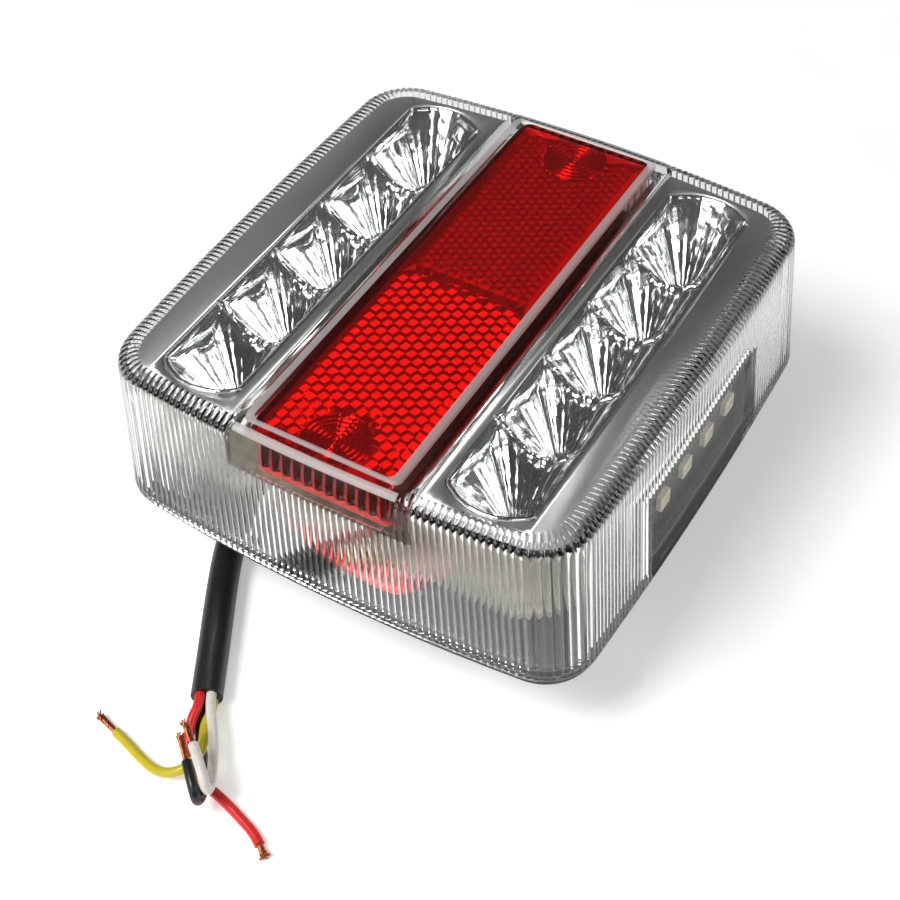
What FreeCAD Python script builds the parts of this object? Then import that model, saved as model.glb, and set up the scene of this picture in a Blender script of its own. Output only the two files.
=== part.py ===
import FreeCAD, Part
import math
import os

# Square LED rear lamp for a trailer: tail, stop, indicator, number-plate light and red reflex reflector.
# Millimetres. Origin: centre of the back plate's mounting face. +Z comes out of the lens, X runs along
# the red reflector, and the number-plate light looks out of the -Y side wall.

V = FreeCAD.Vector
UP = V(0, 0, 1)

# PAST is how far a cutting solid runs past the face that it cuts, BEYOND past the whole lamp, and LAP
# how deep two solids run into each other where they are fused
PAST = 1.0
BEYOND = 99.0
LAP = 0.5

# Outline of the lens: a square with bowed sides and round corners, drafted towards the face
RIM_LENGTH = 105.0
RIM_WIDTH = 101.0
RIM_BOW_X = 3.0
RIM_BOW_Y = 1.3
RIM_CORNER = 10.5
DRAFT_X = 1.6
DRAFT_Y = 2.2
FACE_HEIGHT = 35.0
LENS_WALL = 2.0
FACE_WALL = 2.2
FACE_FILLET = 3.0
FILLET_STEPS = 6
BAND_RAISE = 0.6
BAND_END_GAP = 0.5

# Back plate and the sealing bead on it
PLATE_INSET = 0.8
FLANGE_THICK = 1.5
PLATE_THICK = 2.5
SEAL_THICK = 0.5
SEAL_INSET = 0.2
RING_GAP = 0.45
RING_WALL = 1.5
RING_HEIGHT = 3.5

# Mounting studs and their nuts: M5 studs with a hexagon head moulded into the back plate.
# The thread is modelled at its pitch radius, below a plain shank that is as thick as its crests
STUD_SPACING = 45.0
STUD_LENGTH = 18.0
STUD_R = 2.5
THREAD_R = 2.24
SHANK = 4.0
STUD_CHAMFER = 0.6
COLLAR_R = 3.2
STUD_HEAD_FLATS = 8.0
STUD_HEAD = 3.5
HEAD_DEPTH = 2.0
STUD_BOSS_R = 6.5
STUD_BOSS_TOP = 8.0
NUT_FLATS = 8.0
NUT_HEIGHT = 4.0
NUT_CLEARANCE = 0.06
NUT_CHAMFER = 0.5
WASHER_R = 5.0
WASHER_THICK = 1.0
WASHER_CLEARANCE = 0.15
SPRING_WASHER_R = 4.4
SPRING_WASHER_THICK = 1.2
SPRING_WASHER_SPLIT = 0.8
BRACKET_GAP = 4.4

# LED board on four bosses of the back plate
BOARD_HEIGHT = 12.0
BOARD_THICK = 1.6
BOARD_EDGE_GAP_X = 5.4
BOARD_EDGE_GAP_Y = 5.2
BOARD_CORNER = 6.0
BOARD_POST_GAP = 1.0
BOARD_BOSS_X = 34.0
BOARD_BOSS_Y = 12.0
BOARD_BOSS_R = 3.2
SCREW_R = 1.25
SCREW_CLEARANCE = 0.05
SCREW_LENGTH = 9.0
SCREW_HEAD_R = 2.6
SCREW_HEAD = 1.8
SCREW_HOLE_SPARE = 0.5
SCREW_CROSS_LENGTH = 3.0
SCREW_CROSS_WIDTH = 0.7
SCREW_CROSS_DEEP = 0.9
BOARD_HOLE_CLEARANCE = 0.35

# Reflector banks: five cups in a row in each of two windows. WINDOW_EDGE is how far a window's outer
# side stays inside the lens's rim
CUPS = 5
CUP_PITCH = 16.5
WINDOW_NEAR = 20.8
WINDOW_EDGE = 12.6
CUP_TOP_R = 12.0
CUP_HOLE_R = 2.3
COLLAR_HEIGHT = 1.4
CUP_WALL = 1.2
BANK_FLANGE = 1.2
BANK_FLANGE_GAP = 0.2
BANK_EDGE_GAP = 1.5
LED_R = 1.5
LED_FLANGE_R = 1.9
LED_FLANGE = 0.8
LED_HEIGHT = 4.4

# Red reflex reflector: an upturned box under the raised band of the lens, closed by a plate
REFLECTOR_LENGTH = 95.8
REFLECTOR_WIDTH = 28.4
REFLECTOR_DEPTH = 8.0
REFLECTOR_WALL = 1.8
REFLECTOR_TOP = 2.2
REFLECTOR_CORNER = 2.0
REFLECTOR_GAP = 0.2
BACKING_THICK = 1.2
BAND_MARGIN = 1.6

# Number-plate light: an upright board behind the smooth window in the -Y wall
PLATE_BOARD_LENGTH = 42.0
PLATE_BOARD_CENTRE_X = 2.5
PLATE_BOARD_TOP = 22.0
PLATE_BOARD_THICK = 1.2
PLATE_BOARD_EDGE_GAP = 2.9
PLATE_BOARD_CLEARANCE = 0.1
POST_LENGTH = 3.5
POST_LAP = 1.5
POST_WALL = 1.4
POST_TOP = 16.0
PLATE_LEDS = 4
PLATE_LED_PITCH = 8.9
PLATE_LED_HEIGHT_Z = 12.5
PLATE_LED_SIZE = 3.5
PLATE_LED_DEEP = 1.1
FEED_R = 0.6
FEED_PITCH = 5.08
FEED_DROP = 3.6
FEED_BACK = 5.0

# Small parts on the LED board; the capacitor hangs under its middle, between the stud bosses
RESISTOR = (3.2, 1.6, 0.6)
RESISTOR_COLUMNS = 3
RESISTOR_PITCH_X = 16.0
RESISTOR_ROW_Y = 7.0
DIODE = (4.3, 2.6, 2.2)
DIODE_COUNT = 3
DIODE_PITCH = 9.0
DIODE_X = -9.0
CAPACITOR_R = 3.15
CAPACITOR_HEIGHT = 7.0
CAPACITOR_FILLET = 0.5

# Cable entry: a rubber grommet in a counterbore of the back plate, a set way in from two sides of the rim
CABLE_R = 3.0
CABLE_CLEARANCE = 0.05
GROMMET_EDGE_X = 23.5
GROMMET_EDGE_Y = 16.0
GROMMET_NECK_R = 5.5
GROMMET_FLANGE_R = 7.6
GROMMET_RECESS_GAP = 0.2
GROMMET_RECESS = 1.2
GROMMET_INNER = 1.2
SNOUT = 2.5
SNOUT_R = 4.2
TIE_WALL = 1.0
TIE_WIDTH = 2.5
TIE_HEAD = 3.4
TIE_GAP = 0.05
TIE_PLACE = 0.6
CORE_R = 0.95
COPPER_R = 0.7
SOLDER_R = 1.5
SOLDER_HEIGHT = 0.7

# Outer sheath, from the grommet's tip to its cut end, then the four cores and their stripped ends
SHEATH_ROUTE = [(-29.0, 34.5, -2.5), (-29.0, 34.5, -6.6), (-31.0, 34.3, -11.6), (-36.0, 33.0, -14.6),
                (-43.5, 30.2, -15.0), (-54.0, 24.4, -15.0), (-63.5, 18.8, -15.0), (-72.8, 13.5, -15.0)]
WIRE_ROUTES = {
    "yellow": [(-72.28, 12.59, -16.05), (-74.45, 11.35, -16.05), (-77.7, 10.3, -15.2), (-80.9, 8.0, -14.5),
               (-84.3, 6.7, -14.0), (-87.0, 7.7, -14.7), (-88.8, 10.1, -15.8), (-89.2, 13.2, -16.6),
               (-88.3, 17.1, -17.0), (-87.1, 21.0, -17.05), (-86.2, 24.5, -17.0)],
    "red": [(-73.32, 14.41, -13.95), (-75.49, 13.17, -13.95), (-78.2, 12.9, -14.7), (-80.9, 11.7, -15.8),
            (-83.5, 10.2, -16.8), (-85.9, 7.7, -17.05), (-87.0, 4.9, -17.05), (-87.1, 2.0, -17.05),
            (-88.0, -2.0, -17.0), (-89.3, -6.3, -17.05), (-90.3, -9.5, -17.0), (-91.6, -11.6, -17.05)],
    "black": [(-73.32, 14.41, -16.05), (-75.49, 13.17, -16.05), (-77.6, 12.1, -16.9), (-80.2, 9.8, -17.05),
              (-83.0, 6.9, -16.4), (-85.8, 4.2, -15.0), (-88.4, 2.5, -14.7), (-90.8, 1.3, -14.2),
              (-92.0, 0.8, -12.4), (-91.6, 1.3, -10.5), (-90.0, 3.1, -9.5), (-87.8, 5.6, -9.4)],
    "white": [(-72.28, 12.59, -13.95), (-74.45, 11.35, -13.95), (-78.1, 7.9, -13.6), (-81.3, 5.3, -13.5),
              (-84.4, 3.2, -13.5), (-87.2, 1.4, -13.5), (-89.4, 0.2, -12.3), (-90.0, 0.0, -10.2),
              (-88.9, 1.2, -8.4), (-86.9, 3.6, -8.0), (-85.0, 6.1, -8.2)],
}
COPPER_LENGTHS = {"yellow": 5.5, "red": 2.8, "black": 6.1, "white": 5.5}

# Cable inside the lamp, from the grommet's tip to the end of its sheath, then its cores to the board
INNER_ROUTE = [(-29.0, 34.5, -2.5), (-29.0, 34.5, 6.3), (-32.6, 31.2, 8.7), (-37.6, 26.0, 7.6),
               (-42.0, 16.0, 6.8), (-43.5, 4.0, 6.7), (-43.5, -8.0, 6.7)]
INNER_LEADS = {
    "white": [(-42.35, -8.0, 5.55), (-42.35, -13.0, 5.55), (-40.6, -19.0, 6.6), (-39.5, -23.0, 11.0)],
    "black": [(-44.65, -8.0, 5.55), (-44.65, -14.0, 5.55), (-44.3, -22.0, 6.8), (-43.6, -27.0, 11.0)],
    "yellow": [(-42.35, -8.0, 7.85), (-42.35, -10.7, 7.85), (-41.2, -13.0, 8.8), (-40.2, -14.6, 11.0)],
    "red": [(-44.65, -8.0, 7.85), (-44.65, -11.5, 7.85), (-44.9, -14.3, 8.2), (-46.1, -16.2, 8.7),
            (-47.9, -16.0, 9.2), (-48.8, -13.8, 9.5), (-48.8, -9.6, 9.6), (-48.2, -3.4, 9.4),
            (-47.0, 2.6, 10.1), (-44.8, 6.4, 10.8), (-42.8, 8.6, 11.0)],
}
# ARC_SHARE is the part of a run that the arc at its end takes up
ARC_SHARE = 0.45

LENS_BOTTOM = FLANGE_THICK + SEAL_THICK
FACE_UNDERSIDE = FACE_HEIGHT - FACE_WALL
BOARD_TOP = BOARD_HEIGHT + BOARD_THICK
BAND_UNDERSIDE = FACE_UNDERSIDE + BAND_RAISE
REFLECTOR_BOTTOM = BAND_UNDERSIDE - REFLECTOR_DEPTH
WINDOW_FAR = RIM_WIDTH / 2 - WINDOW_EDGE
CUP_MID_Y = (WINDOW_NEAR + WINDOW_FAR) / 2
GROMMET_X = -(RIM_LENGTH / 2 - GROMMET_EDGE_X)
GROMMET_Y = RIM_WIDTH / 2 - GROMMET_EDGE_Y
PLATE_BOARD_FRONT = -(RIM_WIDTH / 2 - LENS_WALL - PLATE_BOARD_EDGE_GAP)


def bowed_outline(length, width, bow_x, bow_y, corner, z):
    """Wire: four outward-bowed sides joined by corner arcs that are tangent to them."""
    half_x = length / 2
    half_y = width / 2
    side_r = ((half_y - bow_y) ** 2 + bow_x ** 2) / (2 * bow_x)
    end_r = ((half_x - bow_x) ** 2 + bow_y ** 2) / (2 * bow_y)
    side_centre = V(half_x - side_r, 0, 0)
    end_centre = V(0, half_y - end_r, 0)
    # the corner's centre lies inside both side circles by the corner's radius
    reach_side = side_r - corner
    reach_end = end_r - corner
    between = end_centre - side_centre
    span = between.Length
    along = (reach_side ** 2 - reach_end ** 2 + span ** 2) / (2 * span)
    across = math.sqrt(reach_side ** 2 - along ** 2)
    unit = V(between.x / span, between.y / span, 0)
    normal = V(-unit.y, unit.x, 0)
    centre = side_centre + unit * along + normal * across
    on_side = centre + (centre - side_centre) * (corner / reach_side)
    on_end = centre + (centre - end_centre) * (corner / reach_end)
    middle = (on_side + on_end) * 0.5 - centre
    mid_corner = centre + middle * (corner / middle.Length)

    def at(point, sx, sy):
        return V(point.x * sx, point.y * sy, z)

    edges = []
    quarters = [(1, 1), (-1, 1), (-1, -1), (1, -1)]
    for number, (sx, sy) in enumerate(quarters):
        first, last = (on_side, on_end) if sx * sy > 0 else (on_end, on_side)
        edges.append(Part.Arc(at(first, sx, sy), at(mid_corner, sx, sy), at(last, sx, sy)).toShape())
        next_x, next_y = quarters[(number + 1) % 4]
        top = V(0, half_y * sy, z) if sy == next_y else V(half_x * sx, 0, z)
        edges.append(Part.Arc(at(last, sx, sy), top, at(last, next_x, next_y)).toShape())
    return Part.Wire(edges)


def lens_outline(z, inset=0.0):
    """Outline of the lens at height z, moved in by inset."""
    rise = (z - LENS_BOTTOM) / (FACE_HEIGHT - LENS_BOTTOM)
    length = RIM_LENGTH - 2 * (DRAFT_X * rise + inset)
    width = RIM_WIDTH - 2 * (DRAFT_Y * rise + inset)
    return bowed_outline(length, width, RIM_BOW_X, RIM_BOW_Y, RIM_CORNER - inset, z)


def drafted_body(low, high, inset=0.0):
    return Part.makeLoft([lens_outline(low, inset), lens_outline(high, inset)], True, True)


def upright_body(inset, low, high):
    """Straight-sided plate with the rim's outline moved in by inset."""
    wire = bowed_outline(RIM_LENGTH - 2 * inset, RIM_WIDTH - 2 * inset,
                         RIM_BOW_X, RIM_BOW_Y, RIM_CORNER - inset, low)
    return Part.Face(wire).extrude(V(0, 0, high - low))


def box(x0, x1, y0, y1, z0, z1):
    return Part.makeBox(x1 - x0, y1 - y0, z1 - z0, V(x0, y0, z0))


def cylinder(radius, x, y, z0, z1):
    return Part.makeCylinder(radius, z1 - z0, V(x, y, z0))


def round_box(length, width, z0, z1, corner, centre=(0.0, 0.0)):
    """Box with rounded upright edges, centred on a point."""
    x, y = centre
    block = box(x - length / 2, x + length / 2, y - width / 2, y + width / 2, z0, z1)
    upright = [e for e in block.Edges if abs(e.Vertexes[0].Z - e.Vertexes[1].Z) > (z1 - z0) / 2]
    return block.makeFillet(corner, upright)


def hexagon(flats, x, y, z0, z1):
    corner_r = flats / math.sqrt(3)
    points = []
    for number in range(7):
        angle = math.radians(60 * number + 30)
        points.append(V(x + corner_r * math.cos(angle), y + corner_r * math.sin(angle), z0))
    return Part.Face(Part.makePolygon(points)).extrude(V(0, 0, z1 - z0))


def tube_path(route):
    """Straight runs joined by tangent arcs; returns the wire and the arcs' radii."""
    points = [V(*p) for p in route]
    edges = []
    radii = []
    start = points[0]
    for before, here, after in zip(points, points[1:], points[2:]):
        into = here - before
        out = after - here
        turn = into.getAngle(out)
        cut = ARC_SHARE * min(into.Length, out.Length)
        radii.append(cut / math.tan(turn / 2))
        into.normalize()
        out.normalize()
        first = here - into * cut
        last = here + out * cut
        bisector = out - into
        bisector.normalize()
        sagitta = radii[-1] * (1 / math.cos(turn / 2) - 1)
        edges.append(Part.LineSegment(start, first).toShape())
        edges.append(Part.Arc(first, here + bisector * sagitta, last).toShape())
        start = last
    edges.append(Part.LineSegment(start, points[-1]).toShape())
    return Part.Wire(edges), radii


def tube(route, radius, name):
    """Round cord swept along its route; prints its length, smallest radius and volume error."""
    wire, radii = tube_path(route)
    first = V(*route[1]) - V(*route[0])
    profile = Part.Wire(Part.makeCircle(radius, V(*route[0]), first))
    solid = wire.makePipeShell([profile], True, False)
    expected = math.pi * radius ** 2 * wire.Length
    listed = " ".join(f"{r:.1f}" for r in radii)
    print(f"{name}: length {wire.Length:.1f} volume error {solid.Volume / expected - 1:+.4f} radii {listed}")
    return solid


def mirror_y(shape):
    return shape.mirror(V(0, 0, 0), V(0, 1, 0))


def outer_lens():
    """Clear drafted cover, open at the back, with a raised band and a pocket for the red reflector."""
    sections = [lens_outline(LENS_BOTTOM)]
    for step in range(FILLET_STEPS + 1):
        angle = math.radians(90 * step / FILLET_STEPS)
        height = FACE_HEIGHT - FACE_FILLET * (1 - math.sin(angle))
        sections.append(lens_outline(height, FACE_FILLET * (1 - math.cos(angle))))
    body = Part.makeLoft(sections, True, True)
    flat_half = RIM_LENGTH / 2 - DRAFT_X - FACE_FILLET - BAND_END_GAP
    band_half_width = REFLECTOR_WIDTH / 2 + BAND_MARGIN
    band = box(-flat_half, flat_half, -band_half_width, band_half_width,
               FACE_UNDERSIDE, FACE_HEIGHT + BAND_RAISE)
    hollow = drafted_body(LENS_BOTTOM, FACE_UNDERSIDE, LENS_WALL)
    length = REFLECTOR_LENGTH + 2 * REFLECTOR_GAP
    width = REFLECTOR_WIDTH + 2 * REFLECTOR_GAP
    pocket = round_box(length, width, FACE_UNDERSIDE - PAST, BAND_UNDERSIDE, REFLECTOR_CORNER)
    return body.fuse(band).cut(hollow).cut(pocket)


def stud(x):
    """M5 stud: hexagon head and collar inside the plate, plain shank, thread and chamfered tip."""
    profile = [V(x, 0, HEAD_DEPTH), V(x + COLLAR_R, 0, HEAD_DEPTH), V(x + COLLAR_R, 0, 0),
               V(x + STUD_R, 0, 0), V(x + STUD_R, 0, -SHANK), V(x + THREAD_R, 0, -SHANK),
               V(x + THREAD_R, 0, STUD_CHAMFER - STUD_LENGTH),
               V(x + THREAD_R - STUD_CHAMFER, 0, -STUD_LENGTH), V(x, 0, -STUD_LENGTH), V(x, 0, HEAD_DEPTH)]
    shaft = Part.Face(Part.makePolygon(profile)).revolve(V(x, 0, 0), UP, 360)
    return shaft.fuse(hexagon(STUD_HEAD_FLATS, x, 0, HEAD_DEPTH, HEAD_DEPTH + STUD_HEAD))


def board_boss_places():
    return [(sx * BOARD_BOSS_X, sy * BOARD_BOSS_Y) for sx in (-1, 1) for sy in (-1, 1)]


def plate_board_ends():
    half = PLATE_BOARD_LENGTH / 2
    return PLATE_BOARD_CENTRE_X - half, PLATE_BOARD_CENTRE_X + half


def guide_posts():
    """Two slotted posts that hold the ends of the number-plate board."""
    low, high = plate_board_ends()
    back = PLATE_BOARD_FRONT + PLATE_BOARD_THICK
    posts = []
    for x0 in (low + POST_LAP - POST_LENGTH, high - POST_LAP):
        posts.append(box(x0, x0 + POST_LENGTH, PLATE_BOARD_FRONT - POST_WALL, back + POST_WALL,
                         FLANGE_THICK, POST_TOP))
    gap = PLATE_BOARD_CLEARANCE
    slot = box(low - gap, high + gap, PLATE_BOARD_FRONT - gap, back + gap, PLATE_THICK, POST_TOP + PAST)
    return posts[0].fuse(posts[1]).cut(slot)


def back_plate(studs):
    """Black base: flange, floor, locating ring, stud and board bosses, guide posts and cable hole."""
    flange = upright_body(PLATE_INSET, 0, FLANGE_THICK)
    ring_inset = LENS_WALL + RING_GAP
    floor = upright_body(ring_inset, FLANGE_THICK - LAP, PLATE_THICK)
    ring = upright_body(ring_inset, FLANGE_THICK - LAP, FLANGE_THICK + RING_HEIGHT)
    ring = ring.cut(upright_body(ring_inset + RING_WALL, 0, FLANGE_THICK + RING_HEIGHT + PAST))
    body = flange.fuse(floor).fuse(ring).fuse(guide_posts())
    for x in (-STUD_SPACING / 2, STUD_SPACING / 2):
        body = body.fuse(cylinder(STUD_BOSS_R, x, 0, FLANGE_THICK, STUD_BOSS_TOP))
    for x, y in board_boss_places():
        body = body.fuse(cylinder(BOARD_BOSS_R, x, y, FLANGE_THICK, BOARD_HEIGHT))
        hole_low = BOARD_TOP - SCREW_LENGTH - SCREW_HOLE_SPARE
        body = body.cut(cylinder(SCREW_R + SCREW_CLEARANCE, x, y, hole_low, BOARD_TOP))
    body = body.cut(cylinder(GROMMET_NECK_R, GROMMET_X, GROMMET_Y, -PAST, PLATE_THICK + PAST))
    recess_r = GROMMET_FLANGE_R + GROMMET_RECESS_GAP
    body = body.cut(cylinder(recess_r, GROMMET_X, GROMMET_Y, -PAST, GROMMET_RECESS))
    return body.cut(studs).removeSplitter()


def rim_seal():
    outer = upright_body(PLATE_INSET + SEAL_INSET, FLANGE_THICK, LENS_BOTTOM)
    return outer.cut(upright_body(LENS_WALL - SEAL_INSET, 0, LENS_BOTTOM + PAST))


def bracket_stack(x):
    """Flat washer, split spring washer and nut on one stud, left open for the bracket's thickness."""
    washer_low = -BRACKET_GAP - WASHER_THICK
    spring_low = washer_low - SPRING_WASHER_THICK
    nut_low = spring_low - NUT_HEIGHT
    bore = cylinder(STUD_R + WASHER_CLEARANCE, x, 0, -BEYOND, BEYOND)
    flat = cylinder(WASHER_R, x, 0, washer_low, -BRACKET_GAP).cut(bore)
    spring = cylinder(SPRING_WASHER_R, x, 0, spring_low, washer_low).cut(bore)
    split = box(x, x + SPRING_WASHER_R + PAST, -SPRING_WASHER_SPLIT / 2, SPRING_WASHER_SPLIT / 2,
                spring_low - PAST, washer_low + PAST)
    reach = NUT_HEIGHT / 2
    narrow_r = NUT_FLATS / math.sqrt(3) - NUT_CHAMFER
    chamfers = Part.makeCone(narrow_r + reach, narrow_r, reach, V(x, 0, nut_low + reach))
    chamfers = chamfers.fuse(Part.makeCone(narrow_r, narrow_r + reach, reach, V(x, 0, nut_low)))
    nut = hexagon(NUT_FLATS, x, 0, nut_low, spring_low).common(chamfers)
    nut = nut.cut(cylinder(THREAD_R + NUT_CLEARANCE, x, 0, -BEYOND, BEYOND))
    return flat, spring.cut(split), nut


def board_outline_box():
    length = RIM_LENGTH - 2 * (LENS_WALL + BOARD_EDGE_GAP_X)
    back = RIM_WIDTH / 2 - LENS_WALL - BOARD_EDGE_GAP_Y
    front = PLATE_BOARD_FRONT + PLATE_BOARD_THICK + POST_WALL + BOARD_POST_GAP
    return length, front, back


def led_board():
    """Circuit board with screw holes."""
    length, front, back = board_outline_box()
    board = round_box(length, back - front, BOARD_HEIGHT, BOARD_TOP, BOARD_CORNER, (0, (front + back) / 2))
    for x, y in board_boss_places():
        board = board.cut(cylinder(SCREW_R + BOARD_HOLE_CLEARANCE, x, y, 0, FACE_HEIGHT))
    return board


def board_screws():
    screws = []
    half_length = SCREW_CROSS_LENGTH / 2
    half_width = SCREW_CROSS_WIDTH / 2
    head_top = BOARD_TOP + SCREW_HEAD
    slot_low = head_top - SCREW_CROSS_DEEP
    for x, y in board_boss_places():
        shank = cylinder(SCREW_R, x, y, BOARD_TOP - SCREW_LENGTH, BOARD_TOP)
        head = cylinder(SCREW_HEAD_R, x, y, BOARD_TOP, head_top)
        slot = box(x - half_length, x + half_length, y - half_width, y + half_width, slot_low, BEYOND)
        other = box(x - half_width, x + half_width, y - half_length, y + half_length, slot_low, BEYOND)
        screws.append(shank.fuse(head).cut(slot.fuse(other)))
    return Part.makeCompound(screws)


def cup_places():
    return [(number - (CUPS - 1) / 2) * CUP_PITCH for number in range(CUPS)]


def reflector_bank():
    """Flange with one long window over five overlapping cone-shaped cups, for the +Y side."""
    flange_top = FACE_UNDERSIDE - BANK_FLANGE_GAP
    flange_low = flange_top - BANK_FLANGE
    cone_low = BOARD_TOP + COLLAR_HEIGHT
    near = REFLECTOR_WIDTH / 2 + BAND_MARGIN
    trim = drafted_body(LENS_BOTTOM, FACE_HEIGHT, LENS_WALL + BANK_EDGE_GAP)
    flange = trim.common(box(-BEYOND, BEYOND, near, BEYOND, flange_low, flange_top))
    window = box(-BEYOND, BEYOND, WINDOW_NEAR, WINDOW_FAR, 0, BEYOND)
    grown_window = box(-BEYOND, BEYOND, WINDOW_NEAR - CUP_WALL, WINDOW_FAR + CUP_WALL, 0, BEYOND)
    shells = []
    hollows = []
    for x in cup_places():
        spot = V(x, CUP_MID_Y, cone_low)
        height = flange_top - cone_low
        shells.append(Part.makeCone(CUP_HOLE_R + CUP_WALL, CUP_TOP_R + CUP_WALL, height, spot))
        shells.append(cylinder(CUP_HOLE_R + CUP_WALL, x, CUP_MID_Y, BOARD_TOP, cone_low))
        hollows.append(Part.makeCone(CUP_HOLE_R, CUP_TOP_R, height, spot))
        hollows.append(cylinder(CUP_HOLE_R, x, CUP_MID_Y, BOARD_TOP - PAST, cone_low))
    shell = shells[0].fuse(shells[1:]).common(grown_window)
    hollow = hollows[0].fuse(hollows[1:]).common(window)
    return flange.fuse(shell).cut(hollow)


def led_row(side):
    """Five domed LEDs standing on the board, one under each cup."""
    leds = []
    for x in cup_places():
        y = side * CUP_MID_Y
        foot = cylinder(LED_FLANGE_R, x, y, BOARD_TOP, BOARD_TOP + LED_FLANGE)
        body = cylinder(LED_R, x, y, BOARD_TOP, BOARD_TOP + LED_HEIGHT - LED_R)
        dome = Part.makeSphere(LED_R, V(x, y, BOARD_TOP + LED_HEIGHT - LED_R))
        leds.append(foot.fuse(body).fuse(dome))
    return Part.makeCompound(leds)


def red_reflector():
    """Upturned shallow box that holds the reflex optics."""
    outer = round_box(REFLECTOR_LENGTH, REFLECTOR_WIDTH, REFLECTOR_BOTTOM, BAND_UNDERSIDE, REFLECTOR_CORNER)
    inner = box(-REFLECTOR_LENGTH / 2 + REFLECTOR_WALL, REFLECTOR_LENGTH / 2 - REFLECTOR_WALL,
                -REFLECTOR_WIDTH / 2 + REFLECTOR_WALL, REFLECTOR_WIDTH / 2 - REFLECTOR_WALL,
                REFLECTOR_BOTTOM - PAST, BAND_UNDERSIDE - REFLECTOR_TOP)
    return outer.cut(inner)


def reflector_backing():
    return round_box(REFLECTOR_LENGTH, REFLECTOR_WIDTH, REFLECTOR_BOTTOM - BACKING_THICK,
                     REFLECTOR_BOTTOM, REFLECTOR_CORNER)


def plate_light_board():
    low, high = plate_board_ends()
    return box(low, high, PLATE_BOARD_FRONT, PLATE_BOARD_FRONT + PLATE_BOARD_THICK,
               PLATE_THICK, PLATE_BOARD_TOP)


def plate_leds():
    """Four square LEDs in a row on the front of the upright board."""
    half = PLATE_LED_SIZE / 2
    leds = []
    for number in range(PLATE_LEDS):
        x = PLATE_BOARD_CENTRE_X + (number - (PLATE_LEDS - 1) / 2) * PLATE_LED_PITCH
        leds.append(box(x - half, x + half, PLATE_BOARD_FRONT - PLATE_LED_DEEP, PLATE_BOARD_FRONT,
                        PLATE_LED_HEIGHT_Z - half, PLATE_LED_HEIGHT_Z + half))
    return Part.makeCompound(leds)


def plate_board_leads():
    """Two bent wires from the LED board's underside to the back of the upright board."""
    back = PLATE_BOARD_FRONT + PLATE_BOARD_THICK
    leads = []
    for side in (-1, 1):
        x = PLATE_BOARD_CENTRE_X + side * FEED_PITCH / 2
        route = [(x, back + FEED_BACK, BOARD_HEIGHT), (x, back + FEED_BACK, BOARD_HEIGHT - FEED_DROP),
                 (x, back, BOARD_HEIGHT - FEED_DROP)]
        leads.append(tube(route, FEED_R, "plate board lead"))
    return Part.makeCompound(leads)


def chips(size, places):
    length, width, height = size
    blocks = []
    for x, y in places:
        blocks.append(box(x - length / 2, x + length / 2, y - width / 2, y + width / 2,
                          BOARD_TOP, BOARD_TOP + height))
    return Part.makeCompound(blocks)


def resistors():
    middle = (RESISTOR_COLUMNS - 1) / 2
    places = [((column - middle) * RESISTOR_PITCH_X, side * RESISTOR_ROW_Y)
              for column in range(RESISTOR_COLUMNS) for side in (-1, 1)]
    return chips(RESISTOR, places)


def diodes():
    return chips(DIODE, [(DIODE_X + number * DIODE_PITCH, 0) for number in range(DIODE_COUNT)])


def capacitor():
    """Aluminium can hanging from the middle of the board, with its lower edge rounded."""
    low = BOARD_HEIGHT - CAPACITOR_HEIGHT
    can = cylinder(CAPACITOR_R, 0, 0, low, BOARD_HEIGHT)
    low_edge = [e for e in can.Edges if e.BoundBox.ZMax < low + CAPACITOR_FILLET]
    return can.makeFillet(CAPACITOR_FILLET, low_edge)


def cable_grommet():
    """Rubber sleeve: flange in the plate's recess, neck through it, lip inside and a short snout."""
    inner_top = PLATE_THICK + GROMMET_INNER
    body = cylinder(GROMMET_FLANGE_R, GROMMET_X, GROMMET_Y, 0, GROMMET_RECESS)
    body = body.fuse(cylinder(GROMMET_NECK_R, GROMMET_X, GROMMET_Y, 0, PLATE_THICK))
    body = body.fuse(cylinder(GROMMET_FLANGE_R, GROMMET_X, GROMMET_Y, PLATE_THICK, inner_top))
    snout = Part.makeCone(SNOUT_R, GROMMET_NECK_R, SNOUT, V(GROMMET_X, GROMMET_Y, -SNOUT))
    bore = cylinder(CABLE_R + CABLE_CLEARANCE, GROMMET_X, GROMMET_Y, -BEYOND, BEYOND)
    return body.fuse(snout).cut(bore)


def cable_tie():
    """Nylon tie on the long straight stretch of the inner cable, with its square head on top."""
    low = V(*INNER_ROUTE[-2])
    high = V(*INNER_ROUTE[-1])
    along = high - low
    start = low + along * TIE_PLACE
    along.normalize()
    ring = Part.makeCylinder(CABLE_R + TIE_GAP + TIE_WALL, TIE_WIDTH, start, along)
    half = TIE_HEAD / 2
    head = box(start.x + CABLE_R, start.x + CABLE_R + TIE_HEAD, start.y - TIE_WIDTH, start.y,
               start.z - half, start.z + half)
    bore = Part.makeCylinder(CABLE_R + TIE_GAP, 2 * BEYOND, start - along * BEYOND, along)
    return ring.fuse(head).cut(bore)


def copper_end(colour):
    """Stripped strands at the end of a core, as one round bundle."""
    before, start = (V(*p) for p in WIRE_ROUTES[colour][-2:])
    return Part.makeCylinder(COPPER_R, COPPER_LENGTHS[colour], start, start - before)


def solder_joints():
    """Low cones of solder on the board's underside, one at the end of each inner core."""
    joints = []
    for route in INNER_LEADS.values():
        x, y, _ = route[-1]
        joints.append(Part.makeCone(CORE_R, SOLDER_R, SOLDER_HEIGHT, V(x, y, BOARD_HEIGHT - SOLDER_HEIGHT)))
    return Part.makeCompound(joints)


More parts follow.
